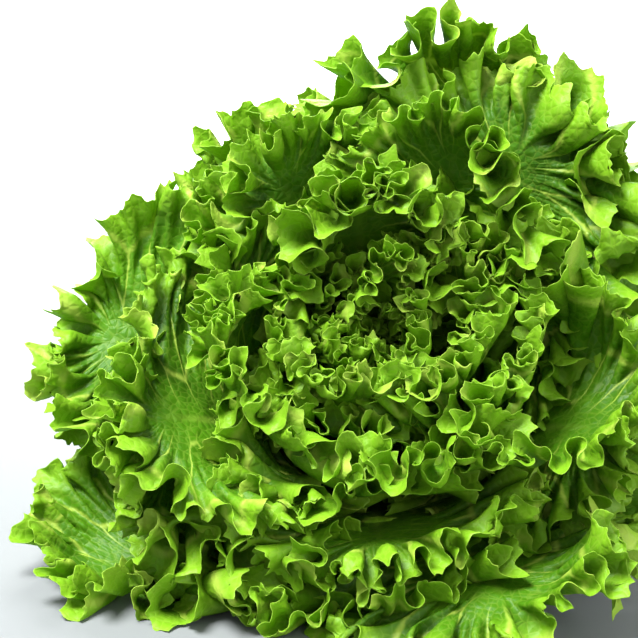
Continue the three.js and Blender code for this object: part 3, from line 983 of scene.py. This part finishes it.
upright = np.empty(3 * len(ring_mesh.vertices))
ring_mesh.vertices.foreach_get("co", upright)
upright = upright.reshape(-1, 3)
upright[:, 2] += DISH * (1 - (RING_SIZES["Ring radius"] / (STEM_BASE_RADIUS - STEM_CUT_EDGE)) ** 2)
ring_mesh.vertices.foreach_set("co", ((lay_down(upright) + head_shift) * MM).ravel())
ring_mesh.update()
ring_piece = bpy.data.objects.new("stem_vessels", ring_mesh)
bpy.context.scene.collection.objects.link(ring_piece)
print("vessels:", VESSELS, "faces in their ring:", len(ring_mesh.polygons))

# %% [markdown]
# ## Tie the pieces to the frame
# Nothing in a head of lettuce turns, so every piece rides on the one body. Each replaces the solid that
# it was grown from.

# %% Ride, replace and give each piece its finish
for name, piece in zip(LEAF_NAMES, leaf_pieces):
    in_heart = name.startswith("heart")
    piece.data.materials.append(heart_material if in_heart else blade_material)
    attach(piece, "root")
    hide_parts(name)
for piece in (stem_piece, ring_piece):
    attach(piece, "root")
    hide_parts("stem")
print("pieces:", len(leaf_pieces) + 2)

# %% [markdown]
# ## The table and the light
# The head lies on a pale sweep that bends up behind it, under one large soft light from the upper left,
# a weaker one from the right and one behind that shines through the top leaves. A fourth is
# aimed at the sweep's wall, so that it stays white behind a floor that shows a soft shadow.

# %% A pale sweep
SWEEP_START, SWEEP_BEND, SWEEP_RADIUS, SWEEP_TOP, SWEEP_HALF_WIDTH = -2.0, 0.6, 0.8, 3.0, 4.0  # m

profile = [(SWEEP_START, 0.0)]
for turn in np.linspace(0, math.pi / 2, 13):
    profile.append((SWEEP_BEND + SWEEP_RADIUS * math.sin(turn), SWEEP_RADIUS * (1 - math.cos(turn))))
profile.append((SWEEP_BEND + SWEEP_RADIUS, SWEEP_TOP))
corners = [(x, y, z) for y, z in profile for x in (-SWEEP_HALF_WIDTH, SWEEP_HALF_WIDTH)]
strips = [(2 * i, 2 * i + 1, 2 * i + 3, 2 * i + 2) for i in range(len(profile) - 1)]
floor_mesh = bpy.data.meshes.new("sweep")
floor_mesh.from_pydata(corners, [], strips)
floor = bpy.data.objects.new("sweep", floor_mesh)
bpy.context.scene.collection.objects.link(floor)

paper, tree = new_material("matt grey paper")
surface = add(tree, "ShaderNodeBsdfPrincipled", {"Base Color": colour("#747879"), "Roughness": 0.7})
add(tree, "ShaderNodeOutputMaterial", {"Surface": surface})
floor_mesh.materials.append(paper)

# %% Soft lights
SKY = 0.68
HEAD, WALL = Vector((0, 0, 0.11)), Vector((0, 1.2, 0.25))
LIGHTS = {
    "key": (Vector((-0.42, -0.25, 1.05)), HEAD, 0.55, 40, 180),
    "fill": (Vector((0.9, -0.6, 0.5)), HEAD, 0.7, 9, 180),
    "back": (Vector((-0.1, 0.8, 0.75)), HEAD, 0.5, 13, 180),
    "wall": (Vector((0, 0.3, 1.5)), WALL, 1.0, 80, 70),
}  # place and target in m, size in m, power in W, spread in degrees

world = bpy.data.worlds.new("studio")
world.use_nodes = True
world.node_tree.nodes["Background"].inputs["Color"].default_value = (1, 1, 1, 1)
world.node_tree.nodes["Background"].inputs["Strength"].default_value = SKY
bpy.context.scene.world = world
bpy.context.scene.view_settings.view_transform = "Standard"
for name, (place, target, size, power, spread) in LIGHTS.items():
    lamp = bpy.data.lights.new(name, "AREA")
    lamp.shape = "DISK"
    lamp.size = size
    lamp.energy = power
    lamp.spread = math.radians(spread)
    light = bpy.data.objects.new(name, lamp)
    light.location = place
    light.rotation_euler = (target - place).to_track_quat("-Z", "Y").to_euler()
    bpy.context.scene.collection.objects.link(light)

# %% [markdown]
# ## The camera
# It stands close, a little above the table, and looks at the crown, so that the head fills the frame
# and runs out of it on the right.

# %% Aim the camera
ELEVATION = math.radians(15)
DISTANCE = 0.50
AIM = Vector((-0.031, -0.03, 0.112))
LENS = 73.5  # mm

camera_data = bpy.data.cameras.new("camera")
camera_data.lens = LENS
camera = bpy.data.objects.new("camera", camera_data)
away = DISTANCE * Vector((0, -math.cos(ELEVATION), math.sin(ELEVATION)))
camera.location = AIM + away
camera.rotation_euler = (-away).to_track_quat("-Z", "Y").to_euler()
bpy.context.scene.collection.objects.link(camera)
bpy.context.scene.camera = camera
